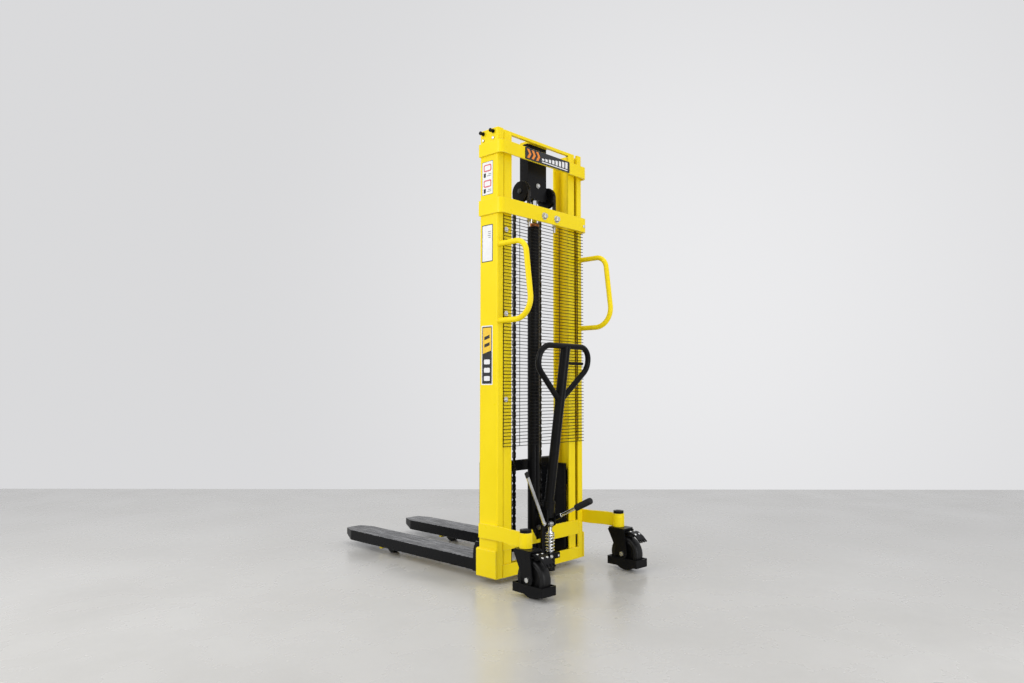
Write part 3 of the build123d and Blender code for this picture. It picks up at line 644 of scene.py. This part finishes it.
# ---------------------------------------------------------------- mesh guard
GUARD_LOW, GUARD_HIGH, GUARD_LEFT, GUARD_RIGHT = 606.0, 1675.0, -276.0, 314.0
WIRE_PITCH, WIRE_R = 15.6, 0.00165
UPRIGHTS = (-273.0, -164.0, 126.0, 271.0)
WIRE_Y, UPRIGHT_Y, WIRE_TAPER = -4.0, -1.75, 0.6
GRAB_X, GRAB_Z, GRAB_CLEAR = 297.0, (1533.0, 1180.0), 15
FIXING_X, FIXING_Z, FIXING_CLEAR = -259.0, (1605.0, 1215.0, 822.0), 5
ANCHOR_LOW, ANCHOR_CLEAR = 1640, 14


def wire_runs(z):
    """The stretches of a cross wire, left open round the chain anchors and the grab handle."""
    runs = [(GUARD_LEFT, GUARD_RIGHT)]
    gaps = []
    if z > ANCHOR_LOW:
        gaps += [(x - ANCHOR_CLEAR, x + ANCHOR_CLEAR) for x in (-PULLEY_X, PULLEY_X)]
    if any(abs(z - grab) < GRAB_CLEAR for grab in GRAB_Z):
        gaps.append((GRAB_X - GRAB_CLEAR, GUARD_RIGHT))
    if any(abs(z - fixing) < FIXING_CLEAR for fixing in FIXING_Z):
        gaps.append((FIXING_X - 6, FIXING_X + 6))
    for low, high in gaps:
        parts = [part for a, b in runs for part in ((a, min(b, low)), (max(a, high), b))]
        runs = [part for part in parts if part[1] - part[0] > 1]
    return runs


bm = bmesh.new()
for i in range(int((GUARD_HIGH - GUARD_LOW) / WIRE_PITCH) + 1):
    z = GUARD_LOW + 2 + WIRE_PITCH * i
    for a, b in wire_runs(z):
        tube(bm, [at(x, WIRE_Y, z) for x in (a, a + WIRE_TAPER, b - WIRE_TAPER, b)],
             [WIRE_R * 0.8, WIRE_R, WIRE_R, WIRE_R * 0.8], 10)
for x in UPRIGHTS:
    tube(bm, [at(x, UPRIGHT_Y, GUARD_LOW), at(x, UPRIGHT_Y, GUARD_HIGH)], WIRE_R, 10)
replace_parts(piece(bm, "mesh_guard_wires", "chassis", "black_paint", BLACK), "mesh_guard")

# ---------------------------------------------------------------- fasteners
BAND_BACK, BAND_BOLT_Z = -30, 1704
SIDE_BOLT_Z, PAD_BOLT_Z = 2064, 2032
bm = bmesh.new()
for z in FIXING_Z:
    seat = at(FIXING_X, -5.2, z)
    washer_bolt(bm, seat, BACK, 0.013, 0.0050, 0.0120, 0.0018)
    lathe(bm, rod(0.0030, 0.0054), seat, BACK, 16, material=1)
for x in (-20, 72):
    washer_bolt(bm, at(x, BAND_BACK, BAND_BOLT_Z), BACK, 0.024, 0.0118, 0.0178, 0.0028)
screw = [(0, 0), (0.0078, 0), (0.0078, 0.0024), (0.0060, 0.0038), (0, 0.0040)]
lathe(bm, screw, at(290, BAND_BACK, BAND_BOLT_Z), BACK, 28)
for y in (30, 95):
    for side in (-1, 1):
        seat = at(side * RAIL_SIDE, y, SIDE_BOLT_Z)
        way = Vector((side, 0, 0))
        washer_bolt(bm, seat, way, 0.017, 0.007, material=1)
        lathe(bm, rod(0.0054, 0.020), seat, way, 20, material=1)
        washer_bolt(bm, seat + way * 0.0165, way, 0.016, 0.0072, material=1)
        washer_bolt(bm, at(side * RAIL_SIDE, y, PAD_BOLT_Z), way, 0.013, 0.005)
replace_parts(piece(bm, "mast_bolts_detailed", "chassis", "zinc", ZINC, BLACK), "mast_fixings")

LEVER_HINGE = (-64.0, -63.0, 247.0)
bm = bmesh.new()
for x, z in ((-38, 42), (38, 42), (-38, 94), (38, 94)):
    washer_bolt(bm, at(x, -12, z), BACK, 0.013, 0.006, 0.009, 0.0015)
washer_bolt(bm, at(-26, -76, 92), BACK, 0.012, 0.005, 0.008, 0.001)
plug = [(0, 0), (0.006, 0), (0.006, 0.004), (0.004, 0.006), (0, 0.006)]
lathe(bm, plug, at(22, -76, 90), BACK, 24)
washer_bolt(bm, at(*LEVER_HINGE) - Vector((0, 0.006, 0)), BACK, 0.012, 0.004)
piece(bm, "pump_bolts", "chassis", "zinc", ZINC)

bm = bmesh.new()
washer_bolt(bm, at(4, 33, 1869), BACK, 0.017, 0.007, 0.012, 0.002)
piece(bm, "bracket_bolt", "inner_mast", "zinc", ZINC)

# ---------------------------------------------------------------- return spring
SPRING_LOW, SPRING_HIGH, SPRING_R, SPRING_WIRE = 105.2, 189.6, 20.5, 3.0
SPRING_TURNS, CLOSED_TURNS = 6.2, 0.8


def coil_height(turn):
    """Height of the wire's middle above its lowest, closed up flat at both ends."""
    closed = 2 * SPRING_WIRE * CLOSED_TURNS
    whole = SPRING_HIGH - SPRING_LOW - 2 * SPRING_WIRE
    if turn < CLOSED_TURNS:
        return 2 * SPRING_WIRE * turn
    if turn > SPRING_TURNS - CLOSED_TURNS:
        return whole - 2 * SPRING_WIRE * (SPRING_TURNS - turn)
    return closed + (whole - 2 * closed) * (turn - CLOSED_TURNS) / (SPRING_TURNS - 2 * CLOSED_TURNS)


coil = []
for i in range(int(SPRING_TURNS * 40) + 1):
    angle = 2 * pi * i / 40
    z = SPRING_LOW + SPRING_WIRE + coil_height(i / 40)
    coil.append(at(SPRING_R * cos(angle), PUMP_Y + SPRING_R * sin(angle), z))
bm = bmesh.new()
tube(bm, coil, SPRING_WIRE / 1000, 14)
spring = piece(bm, "pump_return_spring", "chassis", "zinc", CHROME)
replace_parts(spring, "pump_spring")
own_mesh(spring)

# ---------------------------------------------------------------- foot pedal grip and lever tip
pedal_root, pedal_way = at(40, -34, 252), Vector((0, -0.9, 0.44)).normalized()
sleeve = [(0, 0.1500), (0.0085, 0.1500), (0.0130, 0.1506), (0.0150, 0.1530), (0.0157, 0.1560),
          (0.0148, 0.1580)]
for k in range(9):
    start = 0.1600 + 0.0092 * k
    sleeve += [(0.0146, start), (0.0156, start + 0.0012)]
    sleeve += [(0.0157, start + 0.0070), (0.0146, start + 0.0082)]
sleeve += [(0.0150, 0.2440), (0.0142, 0.2472), (0.0122, 0.2493), (0.0060, 0.2499), (0, 0.2499)]
bm = bmesh.new()
lathe(bm, sleeve, pedal_root, pedal_way, 48, flutes=12, depth=0.0007)
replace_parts(piece(bm, "pedal_rubber_sleeve", "pump_lever", "rubber_grip", RUBBER), "pedal_grip")

bm = bmesh.new()
collar = [(0, 0.012), (0.0100, 0.012), (0.0112, 0.014), (0.0112, 0.046), (0.0100, 0.048), (0, 0.048)]
lathe(bm, collar, pedal_root, pedal_way, 32)
stop_ring = [(0, 0.050), (0.0094, 0.050), (0.0094, 0.056), (0, 0.056)]
lathe(bm, stop_ring, pedal_root, pedal_way, 32, material=1)
piece(bm, "pedal_collar", "pump_lever", "black_paint", BLACK, ZINC)

LEVER_LEAN, TIP_START, TIP_LENGTH = radians(27), 0.247, 0.0275
TIP_HALF_WIDTH, TIP_HALF_THICK = 0.0098, 0.0040
lever_way = Vector((-sin(LEVER_LEAN), 0, cos(LEVER_LEAN)))
lever_side = Vector((cos(LEVER_LEAN), 0, sin(LEVER_LEAN)))
tip = at(*LEVER_HINGE) + Vector((0, -0.00025, 0)) + lever_way * TIP_START
bm = bmesh.new()
base = [tip + lever_side * a * TIP_HALF_WIDTH + Vector((0, b * TIP_HALF_THICK, 0))
        for a, b in ((-1, -1), (1, -1), (1, 1), (-1, 1))]
slab(bm, base, lever_way, TIP_LENGTH)
bmesh.ops.bevel(bm, geom=list(bm.edges), offset=0.0026, segments=3, profile=0.5, affect="EDGES")
piece(bm, "release_lever_tip", "release", "rubber_grip", RUBBER)

# ---------------------------------------------------------------- printed films, plain shapes only
SIGN_Y, SIGN_LOW = -33.05, 1964
CHEVRONS, CHEVRON_X, CHEVRON_PITCH, CHEVRON_RISE, CHEVRON_LEAN = 3, -147, 32, 43, 14
BARS, BAR_X, BAR_PITCH, BAR_WIDTH, BAR_LOW, BAR_HIGH, BAR_STEP = 8, -40, 25.5, 17, 1974, 1984, 3.2
FILM = 0.0002


def sign_shape(bm, outline, material):
    """Film on the back of the top band; the outline is (x, z) in mast millimetres."""
    slab(bm, [at(x, SIGN_Y, z) for x, z in outline], BACK, FILM, material)


bm = bmesh.new()
middle, top = SIGN_LOW + CHEVRON_RISE / 2, SIGN_LOW + CHEVRON_RISE
for k in range(CHEVRONS):
    x = CHEVRON_X + CHEVRON_PITCH * k
    chevron = [(x, SIGN_LOW), (x + 16, SIGN_LOW), (x + 16 + CHEVRON_LEAN, middle), (x + 16, top),
               (x, top), (x + CHEVRON_LEAN, middle)]
    sign_shape(bm, chevron, 0)
for k in range(BARS):
    x = BAR_X + BAR_PITCH * k
    top = BAR_HIGH + BAR_STEP * k
    sign_shape(bm, [(x, BAR_LOW), (x + BAR_WIDTH, BAR_LOW), (x + BAR_WIDTH, top), (x, top)], 1)
line_end, line_top = BAR_X + BAR_PITCH * (BARS - 1) + BAR_WIDTH, SIGN_LOW + 5
sign_shape(bm, [(BAR_X, SIGN_LOW), (line_end, SIGN_LOW), (line_end, line_top), (BAR_X, line_top)], 1)
piece(bm, "sign_graphics", "chassis", "sign_face", FILM_ORANGE, FILM_WHITE)

LABEL_LAYER = 0.18
LABEL_Y = (31, 103)
LABEL_Z = {"upper": (1770.0, 1928.0), "middle": (1455.0, 1629.0), "lower": (888.0, 1160.0)}


def label_shape(bm, outline, level, material):
    """Film on the left rail; the outline is (y, z) in mast millimetres, level counts the layers."""
    x = -RAIL_SIDE - LABEL_LAYER * level
    slab(bm, [at(x, y, z) for y, z in outline], (-1, 0, 0), LABEL_LAYER / 1000, material)


def rounded(y0, y1, z0, z1, r):
    """Rectangle with round corners as (y, z) points."""
    corners = ((y1 - r, z1 - r, 0), (y0 + r, z1 - r, 90), (y0 + r, z0 + r, 180), (y1 - r, z0 + r, 270))
    return [(cy + r * cos(radians(start + 22.5 * k)), cz + r * sin(radians(start + 22.5 * k)))
            for cy, cz, start in corners for k in range(5)]


bm = bmesh.new()
low, high = LABEL_Z["upper"]
label_shape(bm, rounded(*LABEL_Y, low, high, 4), 0, 1)
label_shape(bm, rounded(33, 101, low + 2, high - 2, 3), 1, 0)
for foot in (low + 10, low + 84):
    label_shape(bm, rounded(42, 92, foot + 26, foot + 60, 8), 2, 4)
    label_shape(bm, rounded(48, 86, foot + 32, foot + 54, 5), 3, 0)
    label_shape(bm, rounded(78, 92, foot, foot + 20, 2), 2, 1)
    label_shape(bm, rounded(42, 70, foot + 4, foot + 7, 1.4), 2, 2)
    label_shape(bm, rounded(42, 62, foot + 12, foot + 15, 1.4), 2, 2)
low, high = LABEL_Z["middle"]
label_shape(bm, rounded(*LABEL_Y, low, high, 4), 0, 1)
label_shape(bm, rounded(35, 99, low + 4, high - 4, 2), 1, 0)
for k in range(4):
    label_shape(bm, rounded(44, 60 + 4 * (k % 2), high - 62 + 9 * k, high - 59 + 9 * k, 1.4), 2, 2)
low, high = LABEL_Z["lower"]
label_shape(bm, rounded(*LABEL_Y, low, high, 4), 0, 0)
label_shape(bm, rounded(36, 98, low + 5, high - 5, 3), 1, 1)
label_shape(bm, [(40, 1045), (94, 1030), (94, 1150), (40, 1150)], 2, 3)
for k in range(2):
    z = 1068 + 34 * k
    label_shape(bm, [(50, z), (84, z - 9), (84, z + 6), (50, z + 15)], 3, 1)
for k in range(3):
    z = 906 + 38 * k
    label_shape(bm, rounded(48, 86, z, z + 22, 5), 2, 0)
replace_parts(piece(bm, "side_label_films", "chassis", "sign_face", FILM_WHITE, FILM_BLACK, FILM_GREY,
                  FILM_YELLOW, FILM_ROSE), "side_labels")

# ---------------------------------------------------------------- weld beads
bm = bmesh.new()
for _, side in SIDES:
    x = side * 311.2
    for z in (1955, 2016, 1675, 1747):
        weld(bm, at(x, 24, z), at(x, 114, z), 0.0024)
    for z in (198, 262):
        weld(bm, at(x, 12, z), at(x, 104, z), 0.0034)
    weld(bm, at(side * 317.5, 105.6, 200), at(side * 317.5, 105.6, 260), 0.0030)
    weld(bm, at(x, 6, 150.4), at(x, 122, 150.4), 0.0028)
    for z in GRAB_Z:
        ring_weld(bm, at(side * GRAB_X, -0.6, z), (0, 1, 0), 0.0130, 0.0026)
    for low, high in ((30, 80), (150, 212)):
        weld(bm, at(side * 272.3, -2.4, low), at(side * 272.3, -2.4, high), 0.0026)
    for leg_face in (159, 261):
        weld(bm, at(side * leg_face, 127, 34), at(side * leg_face, 127, 70), 0.0026)
piece(bm, "mast_welds", "chassis", "yellow_paint", YELLOW)

bm = bmesh.new()
ring_weld(bm, at(0, 58.5, 1799.2), (0, 0, 1), 0.0186, 0.0024)
for side in (-1, 1):
    weld(bm, at(side * 68.4, 34, 2064.6), at(side * 68.4, 86, 2064.6), 0.0024)
    weld(bm, at(side * 208.6, 8, 2064.4), at(side * 208.6, 22, 2064.4), 0.0024)
weld(bm, at(-67, 32.6, 2064.6), at(67, 32.6, 2064.6), 0.0024)
piece(bm, "bracket_welds", "inner_mast", "black_paint", BLACK)

bm = bmesh.new()
for side in (-1, 1):
    for z in (476.5, 526.5, 95.5, 164.5):
        weld(bm, at(side * 136, 125.6, z), at(side * 260, 125.6, z), 0.0026)
    for x in (139, 281):
        weld(bm, at(side * x, 141.4, 86), at(side * x, 141.4, 165), 0.0026)
    weld(bm, at(side * 146, 141.6, 85.6), at(side * 274, 141.6, 85.6), 0.0032)
piece(bm, "carriage_welds", "carriage", "black_paint", BLACK)

# Beads on the drawbar: one round its foot and one where each side of the loop meets the shaft.
LEAN, SHAFT_BACK = radians(8.2), 13.0
FOOT_WELD, LOOP_START, LOOP_RUN = 127.2, 603, (177, 156)
SHAFT_R, LOOP_R = 23.6, 14.2


def leaning(x, y, z):
    """A point measured along the drawbar from its hinge, in the frame's metres."""
    y -= SHAFT_BACK
    return at(x, HINGE_Y + y * cos(LEAN) - z * sin(LEAN), HINGE_Z + y * sin(LEAN) + z * cos(LEAN))


shaft_way = leaning(0, 0, 1) - leaning(0, 0, 0)
bm = bmesh.new()
ring_weld(bm, leaning(0, 0, FOOT_WELD), shaft_way, 0.0240, 0.0030)
for side in (-1, 1):
    start = Vector((side * 4, 0, LOOP_START))
    way = Vector((side * LOOP_RUN[0], 0, LOOP_RUN[1])).normalized()
    meet = start + way * (24.5 / abs(way.x))
    across = (way.cross(Vector((0, 1, 0)))).normalized()
    circle = []
    for k in range(29):
        turn = 2 * pi * k / 28
        p = meet + (across * cos(turn) + Vector((0, 1, 0)) * sin(turn)) * LOOP_R
        depth = max(0.0, SHAFT_R ** 2 - p.y ** 2) ** 0.5
        slide = (side * depth - p.x) / way.x
        circle.append(leaning(*(p + way * slide)))
    tube(bm, circle, [0.0026 * ripple(k) for k in range(29)], 8)
piece(bm, "drawbar_welds", "pump_lever", "black_paint", BLACK)

# ---------------------------------------------------------------- camera
CAMERA_AT = at(-2665.84, -2321.86, 869.29)
YAW, PITCH, ROLL = radians(46.553), radians(3.713), radians(0.067)
FOCAL_OVER_WIDTH = 732.05 / 1024
SENSOR = 36

look = Vector((sin(YAW) * cos(PITCH), cos(YAW) * cos(PITCH), sin(PITCH)))
right = Vector((cos(YAW), -sin(YAW), 0))
up = right.cross(look)
right, up = right * cos(ROLL) + up * sin(ROLL), up * cos(ROLL) - right * sin(ROLL)
camera = bpy.data.objects.new("camera", bpy.data.cameras.new("camera"))
bpy.context.scene.collection.objects.link(camera)
camera.matrix_world = Matrix.Translation(CAMERA_AT) @ Matrix((right, up, -look)).transposed().to_4x4()
camera.data.sensor_width = SENSOR
camera.data.lens = FOCAL_OVER_WIDTH * SENSOR
bpy.context.scene.camera = camera

# ---------------------------------------------------------------- floor
ahead = Vector((sin(YAW), cos(YAW), 0))
beside = Vector((cos(YAW), -sin(YAW), 0))
foot = Vector((CAMERA_AT.x, CAMERA_AT.y, 0))
FLOOR_AHEAD, FLOOR_BEHIND, FLOOR_BESIDE = 6.43, -9, 14
bm = bmesh.new()
corners = ((FLOOR_BEHIND, -FLOOR_BESIDE), (FLOOR_BEHIND, FLOOR_BESIDE),
           (FLOOR_AHEAD, FLOOR_BESIDE), (FLOOR_AHEAD, -FLOOR_BESIDE))
bm.faces.new([bm.verts.new(foot + ahead * a + beside * b) for a, b in corners])
bmesh.ops.recalc_face_normals(bm, faces=bm.faces)
floor_mesh = bpy.data.meshes.new("floor")
bm.to_mesh(floor_mesh)
bm.free()
floor = bpy.data.objects.new("floor", floor_mesh)
bpy.context.scene.collection.objects.link(floor)
concrete = Paint("sealed_concrete")
cloud = concrete.ramp(concrete.noise(1.6, 6.0, 0.62), 0.32, 0.7)
concrete.colour(concrete.mix(cloud, (0.455, 0.445, 0.42), (0.52, 0.512, 0.49)))
concrete.roughness(concrete.ramp(concrete.noise(3.2, 5.0), 0.3, 0.7, 0.20, 0.33))
concrete.bump(concrete.noise(14.0, 3.0), 0.0006, 0.10)
floor_mesh.materials.append(concrete.material)

# ---------------------------------------------------------------- light
world = bpy.data.worlds.new("studio")
bpy.context.scene.world = world
world.use_nodes = True
sky = world.node_tree


def sky_math(kind, a, b):
    """Maths on the world's values; a is an output and b an output or a number."""
    node = sky.nodes.new("ShaderNodeMath")
    node.operation = kind
    sky.links.new(a, node.inputs[0])
    if isinstance(b, float):
        node.inputs[1].default_value = b
    else:
        sky.links.new(b, node.inputs[1])
    return node.outputs["Value"]


# The wall is palest to the right of the mast and fades a little away from there.
GLOW_YAW, GLOW_RISE, GLOW_EDGE = radians(61), 0.12, 0.80
WALL_LEVEL, WALL_GLOW, LIT_LEVEL = 0.71, 0.135, 0.80
GLOW = Vector((sin(GLOW_YAW), cos(GLOW_YAW), GLOW_RISE)).normalized()
toward = sky.nodes.new("ShaderNodeVectorMath")
toward.operation = "DOT_PRODUCT"
toward.inputs[1].default_value = GLOW
sky.links.new(sky.nodes.new("ShaderNodeTexCoord").outputs["Generated"], toward.inputs[0])
fade = sky.nodes.new("ShaderNodeMapRange")
fade.inputs["From Min"].default_value = GLOW_EDGE
sky.links.new(toward.outputs["Value"], fade.inputs["Value"])
glow = sky_math("MULTIPLY", fade.outputs["Result"], fade.outputs["Result"])
seen = sky.nodes["Background"]
seen.inputs["Color"].default_value = (0.985, 0.985, 1.0, 1)
wall = sky_math("ADD", sky_math("MULTIPLY", glow, WALL_GLOW), WALL_LEVEL)
sky.links.new(wall, seen.inputs["Strength"])
lit = sky.nodes.new("ShaderNodeBackground")
lit.inputs["Color"].default_value = (0.97, 0.975, 1.0, 1)
lit.inputs["Strength"].default_value = LIT_LEVEL
path = sky.nodes.new("ShaderNodeLightPath")
blend = sky.nodes.new("ShaderNodeMixShader")
sky.links.new(path.outputs["Is Camera Ray"], blend.inputs["Fac"])
sky.links.new(lit.outputs["Background"], blend.inputs[1])
sky.links.new(seen.outputs["Background"], blend.inputs[2])
sky.links.new(blend.outputs["Shader"], sky.nodes["World Output"].inputs["Surface"])


LIT_MIDDLE = (0, 60, 950)


def softbox(name, offset, size, power):
    """Square area light facing the mast from an offset given as (beside, ahead, up)."""
    data = bpy.data.lights.new(name, "AREA")
    data.size = size
    data.energy = power
    lamp = bpy.data.objects.new(name, data)
    middle = at(*LIT_MIDDLE)
    lamp.location = middle + beside * offset[0] + ahead * offset[1] + Vector((0, 0, offset[2]))
    lamp.rotation_mode = "QUATERNION"
    lamp.rotation_quaternion = (lamp.location - middle).to_track_quat("Z", "Y")
    bpy.context.scene.collection.objects.link(lamp)


softbox("key", (-3.4, -2.1, 1.4), 2.4, 78)
softbox("top", (0.3, -0.6, 3.4), 2.4, 34)
softbox("fill", (2.4, -2.8, -0.1), 2.2, 52)

bpy.context.scene.view_settings.view_transform = "Standard"
